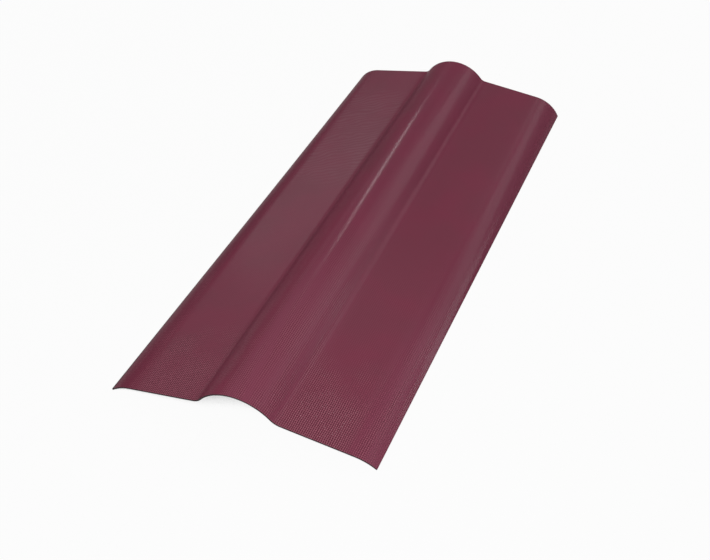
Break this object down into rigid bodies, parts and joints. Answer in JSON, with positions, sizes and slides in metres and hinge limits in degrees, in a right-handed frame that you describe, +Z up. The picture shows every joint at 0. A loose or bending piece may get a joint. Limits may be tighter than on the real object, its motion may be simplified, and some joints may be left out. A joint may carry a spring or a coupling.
{
  "type": "roof ridge cap",
  "caption": "Long roof ridge cap pressed from one thin sheet: round crest, sloping wings and turned-down lips, wider at one end to lap the next.",
  "frame": {"origin": "on the floor under the crest, midway along the cap: the bottom centre of its box", "axes": "+Z up, +Y along the ridge from the wide end to the narrow end, +X across the ridge"},
  "size_m": [0.4872, 1, 0.0935],
  "materials": {
    "red_sheet": "burgundy resin-coated bitumen fibre with a fine pressed mesh, semi-matte"
  },
  "bodies": {
    "root": {"ridge_cap": "red_sheet"}
  },
  "joints": []
}
